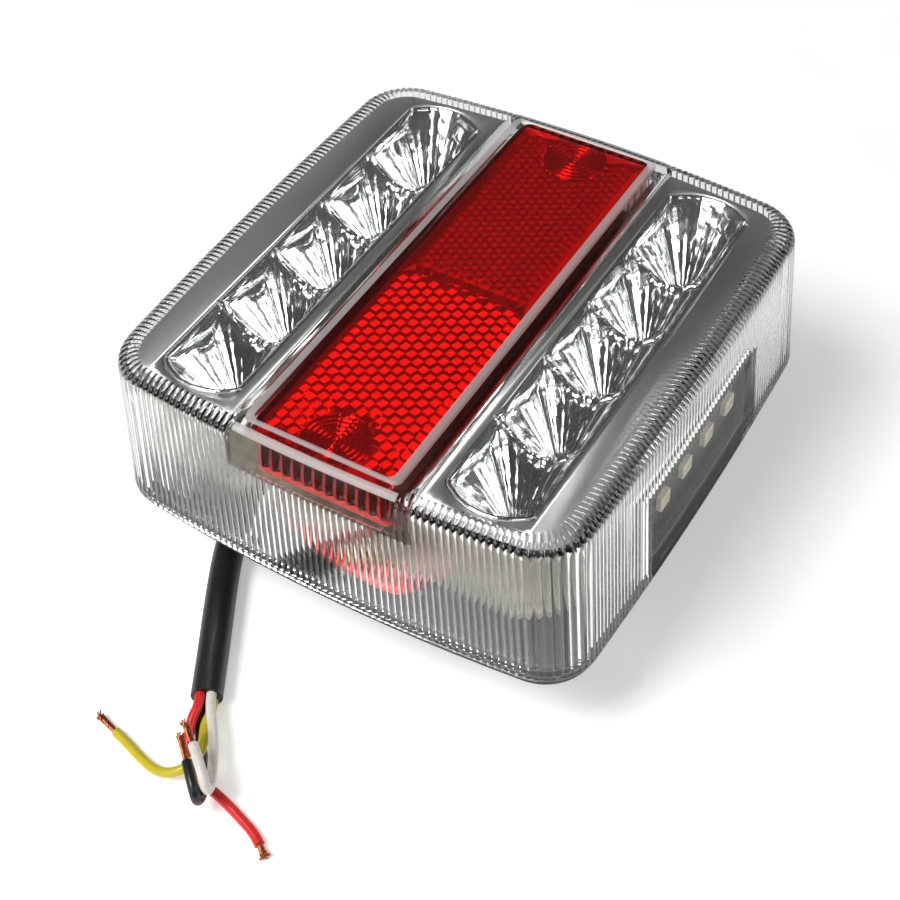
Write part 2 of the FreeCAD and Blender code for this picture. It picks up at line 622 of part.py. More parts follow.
def build():
    studs = Part.makeCompound([stud(-STUD_SPACING / 2), stud(STUD_SPACING / 2)])
    bank = reflector_bank()
    nodes = {
        "outer_lens": outer_lens(),
        "back_plate": back_plate(studs),
        "rim_seal": rim_seal(),
        "red_reflector": red_reflector(),
        "reflector_backing": reflector_backing(),
        "stop_tail_reflector": mirror_y(bank),
        "indicator_reflector": bank,
        "stop_tail_leds": led_row(-1),
        "indicator_leds": led_row(1),
        "led_board": led_board(),
        "board_screws": board_screws(),
        "resistors": resistors(),
        "diodes": diodes(),
        "capacitor": capacitor(),
        "plate_light_board": plate_light_board(),
        "plate_leds": plate_leds(),
        "plate_board_leads": plate_board_leads(),
        "mounting_studs": studs,
        "cable_grommet": cable_grommet(),
        "cable_tie": cable_tie(),
        "solder_joints": solder_joints(),
        "inner_sheath": tube(INNER_ROUTE, CABLE_R, "inner sheath"),
        "cable_sheath": tube(SHEATH_ROUTE, CABLE_R, "cable sheath"),
    }
    for name, x in (("left", -STUD_SPACING / 2), ("right", STUD_SPACING / 2)):
        flat, spring, nut = bracket_stack(x)
        nodes[f"flat_washer_{name}"] = flat
        nodes[f"spring_washer_{name}"] = spring
        nodes[f"nut_{name}"] = nut
    for colour, route in WIRE_ROUTES.items():
        nodes[f"wire_{colour}"] = tube(route, CORE_R, f"wire {colour}")
        nodes[f"copper_{colour}"] = copper_end(colour)
    for colour, route in INNER_LEADS.items():
        nodes[f"inner_lead_{colour}"] = tube(route, CORE_R, f"inner lead {colour}")
    return nodes


os.makedirs("parts", exist_ok=True)
for node, shape in build().items():
    shape.exportStep(f"parts/{node}.step")
    print(node, "solids", len(shape.Solids), "volume", round(shape.Volume, 1), "valid", shape.isValid())
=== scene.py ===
import bmesh
import bpy
import math
import random
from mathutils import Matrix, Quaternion, Vector
from mathutils.geometry import delaunay_2d_cdt, tessellate_polygon


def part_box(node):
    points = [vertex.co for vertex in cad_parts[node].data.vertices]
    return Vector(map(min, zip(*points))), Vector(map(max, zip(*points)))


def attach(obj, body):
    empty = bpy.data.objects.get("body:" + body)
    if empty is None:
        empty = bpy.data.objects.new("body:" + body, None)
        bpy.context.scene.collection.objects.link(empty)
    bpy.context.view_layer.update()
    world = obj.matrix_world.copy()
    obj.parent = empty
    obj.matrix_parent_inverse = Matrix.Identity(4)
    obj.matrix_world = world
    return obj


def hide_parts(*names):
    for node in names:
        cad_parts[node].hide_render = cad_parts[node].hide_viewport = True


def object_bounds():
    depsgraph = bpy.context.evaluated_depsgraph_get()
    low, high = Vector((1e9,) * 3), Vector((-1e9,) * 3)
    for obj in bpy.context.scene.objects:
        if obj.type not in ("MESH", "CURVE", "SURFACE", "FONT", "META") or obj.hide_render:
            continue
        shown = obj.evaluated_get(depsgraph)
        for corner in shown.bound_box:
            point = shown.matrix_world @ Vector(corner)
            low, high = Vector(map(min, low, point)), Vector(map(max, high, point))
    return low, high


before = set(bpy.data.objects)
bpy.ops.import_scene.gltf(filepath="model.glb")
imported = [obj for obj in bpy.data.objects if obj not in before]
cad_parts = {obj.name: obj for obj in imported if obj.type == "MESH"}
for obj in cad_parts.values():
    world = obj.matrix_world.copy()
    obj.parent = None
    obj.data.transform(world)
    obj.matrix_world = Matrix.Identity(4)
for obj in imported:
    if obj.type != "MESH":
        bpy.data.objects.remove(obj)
cad_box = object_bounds()
MM = 0.001


# Camera. It looks down on the corner between the cable end and the number-plate window, from a third
# of a metre, tipped a few degrees.
camera_place = Vector((-187.5, -119.6, 238.1)) * MM
camera_aim = Vector((-25.0, -11.4, 20.0)) * MM
camera_roll = math.radians(-3.32)
camera_data = bpy.data.cameras.new("camera")
camera_data.lens = 65.66
camera_data.sensor_width = 36.0
camera_data.clip_start = 0.01
camera_object = bpy.data.objects.new("camera", camera_data)
camera_object.location = camera_place
camera_object.rotation_mode = "QUATERNION"
looking = (camera_aim - camera_place).to_track_quat("-Z", "Y")
camera_object.rotation_quaternion = looking @ Quaternion((0, 0, 1), camera_roll)
bpy.context.scene.collection.objects.link(camera_object)
bpy.context.scene.camera = camera_object


# Cable sheath. A 6 mm round four-core cable in soft black PVC, extruded with a dull skin and cut
# square; it drops out of the grommet under the lamp and lies on the bench.
def paint(red, green, blue):
    """Linear colour from the usual 0 to 255 screen values."""
    levels = []
    for level in (red, green, blue):
        share = level / 255
        levels.append(share / 12.92 if share <= 0.04045 else ((share + 0.055) / 1.055) ** 2.4)
    return (*levels, 1.0)


def plain_finish(name, colour, roughness, **sockets):
    """Principled material with even values on its own sockets."""
    material = bpy.data.materials.new(name)
    material.use_nodes = True
    surface = material.node_tree.nodes["Principled BSDF"]
    surface.inputs["Base Color"].default_value = colour
    surface.inputs["Roughness"].default_value = roughness
    for socket, value in sockets.items():
        surface.inputs[socket.replace("_", " ")].default_value = value
    return material


def add_grain(material, size_mm, low_colour, high_colour, low_rough, high_rough, bump):
    """Noise of that grain size drives the colour, the roughness and a fine bump."""
    tree = material.node_tree
    surface = tree.nodes["Principled BSDF"]
    place = tree.nodes.new("ShaderNodeTexCoord")
    noise = tree.nodes.new("ShaderNodeTexNoise")
    noise.inputs["Scale"].default_value = 1 / (size_mm * MM)
    noise.inputs["Detail"].default_value = 4.0
    tree.links.new(place.outputs["Object"], noise.inputs["Vector"])
    blend = tree.nodes.new("ShaderNodeValToRGB")
    blend.color_ramp.elements[0].position = 0.35
    blend.color_ramp.elements[0].color = low_colour
    blend.color_ramp.elements[1].position = 0.65
    blend.color_ramp.elements[1].color = high_colour
    tree.links.new(noise.outputs["Fac"], blend.inputs["Fac"])
    tree.links.new(blend.outputs["Color"], surface.inputs["Base Color"])
    spread = tree.nodes.new("ShaderNodeMapRange")
    spread.inputs["To Min"].default_value = low_rough
    spread.inputs["To Max"].default_value = high_rough
    tree.links.new(noise.outputs["Fac"], spread.inputs["Value"])
    tree.links.new(spread.outputs["Result"], surface.inputs["Roughness"])
    if bump:
        relief = tree.nodes.new("ShaderNodeBump")
        relief.inputs["Strength"].default_value = 1.0
        relief.inputs["Distance"].default_value = bump * MM
        tree.links.new(noise.outputs["Fac"], relief.inputs["Height"])
        tree.links.new(relief.outputs["Normal"], surface.inputs["Normal"])
    return material


def round_cord(name, route, diameter, material):
    """Smooth round cord: a NURBS line through the given control points, with flat cut ends."""
    curve = bpy.data.curves.new(name, "CURVE")
    curve.dimensions = "3D"
    curve.bevel_depth = diameter / 2
    curve.bevel_resolution = 6
    curve.resolution_u = 14
    curve.use_fill_caps = True
    spline = curve.splines.new("NURBS")
    spline.points.add(len(route) - 1)
    for point, place in zip(spline.points, route):
        point.co = (*place, 1.0)
    spline.order_u = 3
    spline.use_endpoint_u = True
    curve.materials.append(material)
    made = bpy.data.objects.new(name, curve)
    bpy.context.scene.collection.objects.link(made)
    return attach(made, "lamp")


sheath_diameter = 0.006
sheath_route = [(-0.029, 0.0345, -0.0025), (-0.029, 0.0345, -0.0066), (-0.031, 0.0343, -0.0116),
                (-0.036, 0.033, -0.0146), (-0.0435, 0.0302, -0.015), (-0.054, 0.0244, -0.015),
                (-0.0635, 0.0188, -0.015), (-0.0728, 0.0135, -0.015)]
sheath_black = plain_finish("sheath black", paint(22, 25, 27), 0.42, Specular_IOR_Level=0.45)
add_grain(sheath_black, 0.5, paint(17, 20, 22), paint(30, 33, 35), 0.36, 0.5, 0.02)
sheath = round_cord("sheath", sheath_route, sheath_diameter, sheath_black)
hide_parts("cable_sheath")


# Four cores. Each is a 1.9 mm PVC-covered wire; white and black are folded back on themselves,
# yellow curls away and red runs along the bench. Every end is stripped to twisted copper strands.
core_diameter = 0.0019
strand_radius = 0.00016
strand_turns = 1.1
core_routes = {
    "yellow": [(-0.07228, 0.01259, -0.01605), (-0.07445, 0.01135, -0.01605), (-0.0777, 0.0103, -0.0152),
               (-0.0809, 0.008, -0.0145), (-0.0843, 0.0067, -0.014), (-0.087, 0.0077, -0.0147),
               (-0.0888, 0.0101, -0.0158), (-0.0892, 0.0132, -0.0166), (-0.0883, 0.0171, -0.017),
               (-0.0871, 0.021, -0.01705), (-0.0862, 0.0245, -0.017)],
    "red": [(-0.07332, 0.01441, -0.01395), (-0.07549, 0.01317, -0.01395), (-0.0782, 0.0129, -0.0147),
            (-0.0809, 0.0117, -0.0158), (-0.0835, 0.0102, -0.0168), (-0.0859, 0.0077, -0.01705),
            (-0.087, 0.0049, -0.01705), (-0.0871, 0.002, -0.01705), (-0.088, -0.002, -0.017),
            (-0.0893, -0.0063, -0.01705), (-0.0903, -0.0095, -0.017), (-0.0916, -0.0116, -0.01705)],
    "black": [(-0.07332, 0.01441, -0.01605), (-0.07549, 0.01317, -0.01605), (-0.0776, 0.0121, -0.0169),
              (-0.0802, 0.0098, -0.01705), (-0.083, 0.0069, -0.0164), (-0.0858, 0.0042, -0.015),
              (-0.0884, 0.0025, -0.0147), (-0.0908, 0.0013, -0.0142), (-0.092, 0.0008, -0.0124),
              (-0.0916, 0.0013, -0.0105), (-0.09, 0.0031, -0.0095), (-0.0878, 0.0056, -0.0094)],
    "white": [(-0.07228, 0.01259, -0.01395), (-0.07445, 0.01135, -0.01395), (-0.0781, 0.0079, -0.0136),
              (-0.0813, 0.0053, -0.0135), (-0.0844, 0.0032, -0.0135), (-0.0872, 0.0014, -0.0135),
              (-0.0894, 0.0002, -0.0123), (-0.09, 0.0, -0.0102), (-0.0889, 0.0012, -0.0084),
              (-0.0869, 0.0036, -0.008), (-0.085, 0.0061, -0.0082)],
}
core_colours = {"yellow": paint(205, 188, 35), "red": paint(222, 38, 38),
                "black": paint(24, 24, 26), "white": paint(226, 222, 214)}
copper_lengths = {"yellow": 0.0055, "red": 0.0028, "black": 0.0061, "white": 0.0055}
copper_fray = {"yellow": 0.9, "red": 1.6, "black": 0.7, "white": 1.1}
copper = plain_finish("bare copper", paint(196, 112, 74), 0.3, Metallic=1.0)
add_grain(copper, 0.4, paint(168, 84, 52), paint(214, 134, 92), 0.22, 0.42, 0.01)


def darker(colour, share):
    return (colour[0] * share, colour[1] * share, colour[2] * share, 1.0)


def stripped_end(name, start, along, length, fray):
    """Twelve fine strands twisted round the wire's line, spreading a little at their cut tips."""
    curve = bpy.data.curves.new(name, "CURVE")
    curve.dimensions = "3D"
    curve.bevel_depth = strand_radius
    curve.bevel_resolution = 2
    curve.resolution_u = 6
    curve.use_fill_caps = True
    across = along.orthogonal().normalized()
    third = along.cross(across)
    rings = [(0.00052, 9), (0.0002, 3)]
    for ring_radius, count in rings:
        for number in range(count):
            tip_spread = random.uniform(0.2, 0.8) * fray
            tip_length = length * random.uniform(0.86, 1.0)
            spline = curve.splines.new("NURBS")
            spline.points.add(6)
            for step, point in enumerate(spline.points):
                share = step / 6
                turn = math.tau * (number / count + strand_turns * share)
                reach = ring_radius * (1 + tip_spread * share ** 3)
                place = start + along * (tip_length * share)
                place = place + across * (reach * math.cos(turn)) + third * (reach * math.sin(turn))
                place.z = max(place.z, cad_box[0].z + strand_radius)
                point.co = (*place, 1.0)
            spline.order_u = 3
            spline.use_endpoint_u = True
    curve.materials.append(copper)
    made = bpy.data.objects.new(name, curve)
    bpy.context.scene.collection.objects.link(made)
    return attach(made, "lamp")


core_finishes = {}
random.seed(4)
for colour, route in core_routes.items():
    jacket = plain_finish(f"{colour} core", core_colours[colour], 0.32, Specular_IOR_Level=0.5)
    add_grain(jacket, 0.7, darker(core_colours[colour], 0.88), core_colours[colour], 0.26, 0.4, 0.012)
    core_finishes[colour] = jacket
    core = round_cord(f"core_{colour}", route, core_diameter, jacket)
    end = Vector(route[-1])
    strands = stripped_end(f"strands_{colour}", end, (end - Vector(route[-2])).normalized(),
                           copper_lengths[colour], copper_fray[colour])
    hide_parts(f"wire_{colour}")
    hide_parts(f"copper_{colour}")


# Bench and light. A pale matt bench top under a plain studio: a broad soft lamp high on the cable side
# that the chrome cups look into, a low weak one on the cable side and on the window side, and a small
# one in front that the reflector's corner cubes send straight back.
def flat_sheet(name, corners, material):
    """Single flat face through its corners."""
    mesh = bpy.data.meshes.new(name)
    mesh.from_pydata(corners, [], [tuple(range(len(corners)))])
    mesh.materials.append(material)
    made = bpy.data.objects.new(name, mesh)
    bpy.context.scene.collection.objects.link(made)
    return made


bench_half = 3.0
bench_height = cad_box[0].z
bench_white = plain_finish("bench white", paint(244, 244, 242), 0.85, Emission_Color=(1.0, 1.0, 1.0, 1.0),
                           Emission_Strength=0.38)
add_grain(bench_white, 40.0, paint(242, 242, 240), paint(247, 247, 245), 0.8, 0.9, 0.0)
bench_corners = [(sign_x * bench_half, sign_y * bench_half, bench_height)
                 for sign_x, sign_y in ((-1, -1), (1, -1), (1, 1), (-1, 1))]
bench = flat_sheet("bench", bench_corners, bench_white)


def soft_lamp(name, place, width, height, power):
    """Rectangular area lamp aimed at the middle of the object's mounting face."""
    light = bpy.data.lights.new(name, "AREA")
    light.shape = "RECTANGLE"
    light.size = width
    light.size_y = height
    light.energy = power
    lamp = bpy.data.objects.new(name, light)
    lamp.location = place
    lamp.rotation_mode = "QUATERNION"
    lamp.rotation_quaternion = (-Vector(place)).to_track_quat("-Z", "Y")
    bpy.context.scene.collection.objects.link(lamp)


soft_lamp("key lamp", (-0.5, 0.3, 0.85), 0.46, 0.4, 8.5)
soft_lamp("cable side lamp", (-0.9, 0.25, 0.4), 0.6, 0.25, 1.8)
soft_lamp("window side lamp", (0.25, -0.95, 0.6), 0.6, 0.3, 2.0)
soft_lamp("front lamp", (-0.52, -0.33, 0.66), 0.24, 0.24, 0.65)
sky = bpy.data.worlds.new("studio")
sky.use_nodes = True
sky.node_tree.nodes["Background"].inputs["Color"].default_value = (1.0, 1.0, 1.0, 1.0)
sky.node_tree.nodes["Background"].inputs["Strength"].default_value = 0.06
bpy.context.scene.world = sky
bpy.context.scene.view_settings.view_transform = "Standard"
bpy.context.scene.cycles.use_denoising = True
bpy.context.scene.cycles.max_bounces = 20
bpy.context.scene.cycles.transmission_bounces = 18
bpy.context.scene.cycles.glossy_bounces = 8


# Outer lens. One clear polycarbonate moulding 2 mm thick: half-round flutes run up all four walls and
# curl over the edge onto the face, except at the smooth number-plate window and above the reflector.
rib_pitch_x = 1.4
rib_pitch_y = 1.25
rib_depth = 0.2
rib_steps = 6
lens_low, lens_high = (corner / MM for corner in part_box("outer_lens"))
rim_half = (lens_high.x, lens_high.y)
bow = (3.0, 1.3)
draft = (1.6, 2.2)
rim_corner = 10.5
band_raise = 0.6
face_height = lens_high.z - band_raise
rim_height = lens_low.z
lens_wall = 2.0
face_wall = 2.2
face_fillet = 3.0
smooth_patch = {"half_width": 16.6, "low": 27.0}
patch_margin = {"side": 1.5, "below": 2.5}
patch_end = 45
plate_window = {"low_x": -20.4, "high_x": 23.2, "high": 22.2}


def quarter_outline(half, corner, steps):
    """Points and outward normals of a quarter of the bowed square, from +X round to +Y."""
    side_r = ((half[1] - bow[1]) ** 2 + bow[0] ** 2) / (2 * bow[0])
    end_r = ((half[0] - bow[0]) ** 2 + bow[1] ** 2) / (2 * bow[1])
    side_centre = Vector((half[0] - side_r, 0))
    end_centre = Vector((0, half[1] - end_r))
    between = end_centre - side_centre
    reach_side = side_r - corner
    along = (reach_side ** 2 - (end_r - corner) ** 2 + between.length_squared) / (2 * between.length)
    across = math.sqrt(reach_side ** 2 - along ** 2)
    unit = between.normalized()
    corner_centre = side_centre + unit * along + Vector((-unit.y, unit.x)) * across
    to_side = corner_centre - side_centre
    to_end = corner_centre - end_centre
    first_turn = math.atan2(to_side.y, to_side.x)
    last_turn = math.atan2(to_end.y, to_end.x)
    arcs = [(side_centre, side_r, 0.0, first_turn, steps[0]),
            (corner_centre, corner, first_turn, last_turn, steps[1]),
            (end_centre, end_r, last_turn, math.pi / 2, steps[2])]
    line = []
    for centre, radius, start, stop, count in arcs:
        for number in range(count):
            turn = start + (stop - start) * number / count
            normal = Vector((math.cos(turn), math.sin(turn)))
            line.append((centre + normal * radius, normal))
    line.append((Vector((0.0, half[1])), Vector((0.0, 1.0))))
    return line


def lens_ring(height, inset, steps):
    """The whole outline at a height, moved in by inset, as (point, normal) pairs."""
    rise = (height - rim_height) / (face_height - rim_height)
    half = [rim_half[axis] - draft[axis] * rise - inset for axis in (0, 1)]
    quarter = quarter_outline(half, rim_corner - inset, steps)
    ring = []
    for sign_x, sign_y in ((1, 1), (-1, 1), (-1, -1), (1, -1)):
        part = quarter if sign_x * sign_y > 0 else quarter[::-1]
        for point, normal in part[:-1]:
            ring.append((Vector((point.x * sign_x, point.y * sign_y)),
                         Vector((normal.x * sign_x, normal.y * sign_y))))
    return ring


def strip_faces(first, second, count, flip=False):
    """Quads between two closed rows of count points."""
    faces = []
    for number in range(count):
        following = (number + 1) % count
        quad = (first + number, first + following, second + following, second + number)
        faces.append(quad[::-1] if flip else quad)
    return faces


def filled(loops, points, upward):
    """Triangles that fill the flat area between an outer loop and its holes, given as point numbers."""
    order = [number for loop in loops for number in loop]
    triangles = tessellate_polygon([[points[number] for number in loop] for loop in loops])
    faces = []
    for triangle in triangles:
        corners = [order[number] for number in triangle]
        a, b, c = (Vector(points[number]) for number in corners)
        size = (b - a).cross(c - a).z
        if abs(size) > 1e-9:
            faces.append(tuple(corners) if (size > 0) == upward else tuple(corners[::-1]))
    return faces


def round_rectangle(half_x, half_y, corner, centre=(0.0, 0.0), steps=6):
    """Anticlockwise points of a rectangle with round corners."""
    line = []
    for number, (sign_x, sign_y) in enumerate(((1, 1), (-1, 1), (-1, -1), (1, -1))):
        for step in range(steps + 1):
            turn = math.pi / 2 * (number + step / steps)
            line.append((centre[0] + sign_x * (half_x - corner) + corner * math.cos(turn),
                         centre[1] + sign_y * (half_y - corner) + corner * math.sin(turn)))
    return line


def piece(name, points, faces, material, smooth_angle=None):
    """Closed mesh given in millimetres, riding on the lamp."""
    mesh = bpy.data.meshes.new(name)
    mesh.from_pydata([Vector(point) * MM for point in points], [], faces)
    mesh.update()
    if smooth_angle is not None:
        mesh.shade_smooth()
        mesh.set_sharp_from_angle(angle=math.radians(smooth_angle))
        for face in mesh.polygons:
            face.use_smooth = abs(face.normal.z) < 0.99999
    mesh.materials.append(material)
    made = bpy.data.objects.new(name, mesh)
    bpy.context.scene.collection.objects.link(made)
    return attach(made, "lamp")


def rib_share(point, normal, height):
    """1 where the wall is fluted, 0 on the smooth patches under the reflector and over the plate light."""
    on_end = abs(normal.x) > 0.9
    if on_end and abs(point.y) < smooth_patch["half_width"] and height > smooth_patch["low"]:
        return 0.0
    in_window = plate_window["low_x"] < point.x < plate_window["high_x"] and height < plate_window["high"]
    if normal.y < -0.9 and in_window:
        return 0.0
    return 1.0


quarter_wall = 42.0
corner_ribs = 10
ribs = (round(quarter_wall / rib_pitch_x), corner_ribs, round(quarter_wall / rib_pitch_y))
ring_steps = tuple(count * rib_steps for count in ribs)
around = 4 * sum(ring_steps)
# each row of the outer wall: height, inset, tilt of the surface, share of the flutes' full depth
foot_rows = ((0.0, 0), (0.4, 0), (0.6, 0), (0.8, 1), (1.1, 1))
lens_rows = [(rim_height + step, 0.0, 0.0, share) for step, share in foot_rows]
for edge in (plate_window["high"], smooth_patch["low"]):
    lens_rows += [(edge + step, 0.0, 0.0, 1.0) for step in (-0.35, -0.05, 0.05, 0.35)]
fillet_steps = 6
for step in range(fillet_steps + 1):
    tilt = math.pi / 2 * step / fillet_steps
    lens_rows.append((face_height - face_fillet * (1 - math.sin(tilt)),
                      face_fillet * (1 - math.cos(tilt)), tilt, 1.0 + 0.8 * math.sin(tilt)))
lens_points = []
lobe_power = 0.7
for height, inset, tilt, share in lens_rows:
    for column, (point, normal) in enumerate(lens_ring(height, inset, ring_steps)):
        lobe = math.sin(math.pi * (column % rib_steps) / rib_steps) ** lobe_power
        sink = rib_depth * share * (1 - lobe) * rib_share(point, normal, height)
        flat = point - normal * (sink * math.cos(tilt))
        lens_points.append((flat.x, flat.y, height - sink * math.sin(tilt)))
# flute ends on the face: they reach further in along the long walls than along the ends
face_rows = ((0.35, 1.5), (0.7, 1.1), (0.9, 0.7), (1.0, 0.0))
for reach, share in face_rows:
    for column, (point, normal) in enumerate(lens_ring(face_height, face_fillet, ring_steps)):
        lobe = math.sin(math.pi * (column % rib_steps) / rib_steps) ** lobe_power
        inward = reach * (0.1 + 1.8 * normal.y ** 2)
        sink = rib_depth * share * (1 - lobe) * rib_share(point, normal, face_height)
        flat = point - normal * inward
        lens_points.append((flat.x, flat.y, face_height - sink))
lens_faces = []
row_count = len(lens_rows) + len(face_rows)
for row in range(row_count - 1):
    lens_faces += strip_faces(row * around, (row + 1) * around, around)
last_row = (row_count - 1) * around

# raised band over the reflector, with a chamfered edge
band_half = (47.35, 15.8)
band_loops = []
band_top = face_height + band_raise
band_steps = ((0.0, face_height, 0.0), (-0.12, band_top - 0.15, 0.0), (-0.3, band_top, 0.0),
              (-0.65, band_top, 0.95))
for grow, height, frame_width in band_steps:
    loop = round_rectangle(band_half[0] + grow, band_half[1] + grow - frame_width, 1.4)
    band_loops.append(range(len(lens_points), len(lens_points) + len(loop)))
    lens_points += [(x, y, height) for x, y in loop]
band_count = len(band_loops[0])
lens_faces += filled([range(last_row, last_row + around), band_loops[0]], lens_points, True)
frame_start = len(lens_faces)
for low_loop, high_loop in zip(band_loops, band_loops[1:]):
    lens_faces += strip_faces(low_loop[0], high_loop[0], band_count)
frame_stop = len(lens_faces)
lens_faces.append(tuple(band_loops[-1]))

# inside: smooth walls up to the ceiling, and the pocket that the reflector sits in
inner_rows = []
patch_low_inside = smooth_patch["low"] - patch_margin["below"]
for height in (rim_height, plate_window["high"], patch_low_inside, face_height - face_wall):
    inner_rows.append(len(lens_points))
    for point, _ in lens_ring(height, lens_wall, ring_steps):
        lens_points.append((point.x, point.y, height))
lens_faces += strip_faces(0, inner_rows[0], around, flip=True)
for lower, upper in zip(inner_rows, inner_rows[1:]):
    lens_faces += strip_faces(lower, upper, around, flip=True)
reflector_low, reflector_high = (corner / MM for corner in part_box("red_reflector"))
pocket_half = (reflector_high.x + 0.2, reflector_high.y + 0.2)
pocket_loops = []
for height in (face_height - face_wall, face_height - face_wall + band_raise):
    loop = round_rectangle(*pocket_half, 2.0)
    pocket_loops.append(range(len(lens_points), len(lens_points) + len(loop)))
    lens_points += [(x, y, height) for x, y in loop]
lens_faces += filled([range(inner_rows[-1], inner_rows[-1] + around), pocket_loops[0]], lens_points, False)
lens_faces += strip_faces(pocket_loops[0][0], pocket_loops[1][0], len(pocket_loops[0]), flip=True)
lens_faces.append(tuple(pocket_loops[1])[::-1])


def clear_plastic(name, colour, roughness):
    """Moulded clear plastic that bends what is seen through it and lets lamp light in."""
    material = plain_finish(name, colour, roughness, IOR=1.49, Transmission_Weight=1.0)
    tree = material.node_tree
    surface = tree.nodes["Principled BSDF"]
    passing = tree.nodes.new("ShaderNodeBsdfTransparent")
    passing.inputs["Color"].default_value = darker(colour, 0.82)
    ray = tree.nodes.new("ShaderNodeLightPath")
    choice = tree.nodes.new("ShaderNodeMixShader")
    tree.links.new(ray.outputs["Is Shadow Ray"], choice.inputs["Fac"])
    tree.links.new(surface.outputs["BSDF"], choice.inputs[1])
    tree.links.new(passing.outputs["BSDF"], choice.inputs[2])
    tree.links.new(choice.outputs["Shader"], tree.nodes["Material Output"].inputs["Surface"])
    return material


def add_flow_ripple(material, size_mm, depth_mm):
    """Very shallow waves of a moulded surface, in the normal only."""
    tree = material.node_tree
    place = tree.nodes.new("ShaderNodeTexCoord")
    noise = tree.nodes.new("ShaderNodeTexNoise")
    noise.inputs["Scale"].default_value = 1 / (size_mm * MM)
    tree.links.new(place.outputs["Object"], noise.inputs["Vector"])
    relief = tree.nodes.new("ShaderNodeBump")
    relief.inputs["Distance"].default_value = depth_mm * MM
    tree.links.new(noise.outputs["Fac"], relief.inputs["Height"])
    tree.links.new(relief.outputs["Normal"], tree.nodes["Principled BSDF"].inputs["Normal"])


lens_clear = clear_plastic("lens clear", (0.97, 0.975, 0.97, 1.0), 0.02)
add_flow_ripple(lens_clear, 9.0, 0.02)
lens = piece("lens", lens_points, lens_faces, lens_clear, smooth_angle=50)
window_clear = clear_plastic("window clear", (0.97, 0.975, 0.97, 1.0), 0.02)
window_clear.node_tree.nodes["Principled BSDF"].inputs["IOR"].default_value = 1.09
add_flow_ripple(window_clear, 9.0, 0.01)
# Frost on the band's edge and on the crest over the reflector's ends: the roughness is a finish, and the
# grey-white colour is a painted highlight line along them.
frost_and_painted_highlight = clear_plastic("frame frost and painted highlight", (0.62, 0.63, 0.62, 1.0), 0.42)
frost_and_painted_highlight.node_tree.nodes["Principled BSDF"].inputs["Transmission Weight"].default_value = 0.55
add_flow_ripple(frost_and_painted_highlight, 0.6, 0.02)
lens.data.materials.append(window_clear)
lens.data.materials.append(frost_and_painted_highlight)
# finishes of the moulding by number: 0 fluted, 1 the smooth windows, 2 the frosted edges, whose whitish
# colour is a painted highlight line
for face in lens.data.polygons[frame_start:frame_stop]:
    face.material_index = 2
for face in lens.data.polygons[:frame_start]:
    spot = face.center / MM
    over_reflector = abs(spot.y) < smooth_patch["half_width"] and spot.z > smooth_patch["low"]
    if over_reflector and abs(face.normal.y) < 0.1 and face.normal.z < 0.98 and abs(spot.x) > patch_end:
        face.material_index = 2 if face.normal.z > 0.78 else 1
for face in lens.data.polygons[frame_stop + 1:]:
    spot = face.center / MM
    near_end = all(abs(lens.data.vertices[number].co.x) > patch_end * MM for number in face.vertices)
    behind_patch = abs(spot.y) < smooth_patch["half_width"] + patch_margin["side"]
    if near_end and behind_patch and spot.z > patch_low_inside:
        face.material_index = 1
for face in lens.data.polygons:
    spot = face.center / MM
    over_board = plate_window["low_x"] < spot.x < plate_window["high_x"] and spot.z < plate_window["high"]
    if over_board and abs(face.normal.y) > 0.9 and spot.y < -40:
        face.material_index = 1
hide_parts("outer_lens")


# Red reflex reflector. A shallow upturned box of red acrylic, smooth on top; underneath, two fields of
# corner cubes, coarse by the cable end and fine beyond the middle, with a ringed target near each end.
near_cube = 2.3
far_cube = 1.8
reflector_corner = 2.0
reflector_wall = 0.6
reflector_top = reflector_high.z - 0.06
border = 0.4
prism_height = reflector_top - 2.2
target_place = 42.6
target_radius = 6.3
target_rings = 6
ring_depth = 0.55
end_clear, side_clear = 1.2, 0.9
field_change = 1.0
inner_half = (reflector_high.x - reflector_wall, reflector_high.y - reflector_wall)
field_half = (inner_half[0] - border, inner_half[1] - border)


def cube_field(flats, low_x, high_x):
    """Corner cubes over a stretch of the strip: plan points, their heights and the cubes' edges."""
    places, heights, edges, known = [], [], [], {}
    cube_step = flats / math.sqrt(6)

    def add(x, y, level):
        key = (round(x, 3), round(y, 3))
        if key not in known:
            known[key] = len(places)
            places.append(Vector((x, y)))
            heights.append(prism_height - cube_step * (2 - level))
        return known[key]

    side = flats / math.sqrt(3)
    spokes = [Vector((math.cos(turn), math.sin(turn))) * side
              for turn in (math.radians(90 + 120 * number) for number in range(3))]
    reach = int(max(field_half) / flats) + 3
    for i in range(-2 * reach, 2 * reach):
        for j in range(-2 * reach, 2 * reach):
            tip = Vector((flats * (i + j / 2), 1.5 * side * j))
            from_target = Vector((abs(tip.x) - target_place, tip.y)).length
            inside = (low_x + end_clear < tip.x < high_x - end_clear
                      and abs(tip.y) < field_half[1] - side_clear)
            if not inside or from_target < target_radius + side_clear:
                continue
            centre = add(tip.x, tip.y, 0)
            ones = [add(*(tip + spoke), 1) for spoke in spokes]
            twos = [add(*(tip + spokes[n] + spokes[(n + 1) % 3]), 2) for n in range(3)]
            for number in range(3):
                edges.append((centre, ones[number]))
                edges.append((ones[number], twos[number]))
                edges.append((twos[number], ones[(number + 1) % 3]))
    return places, heights, edges


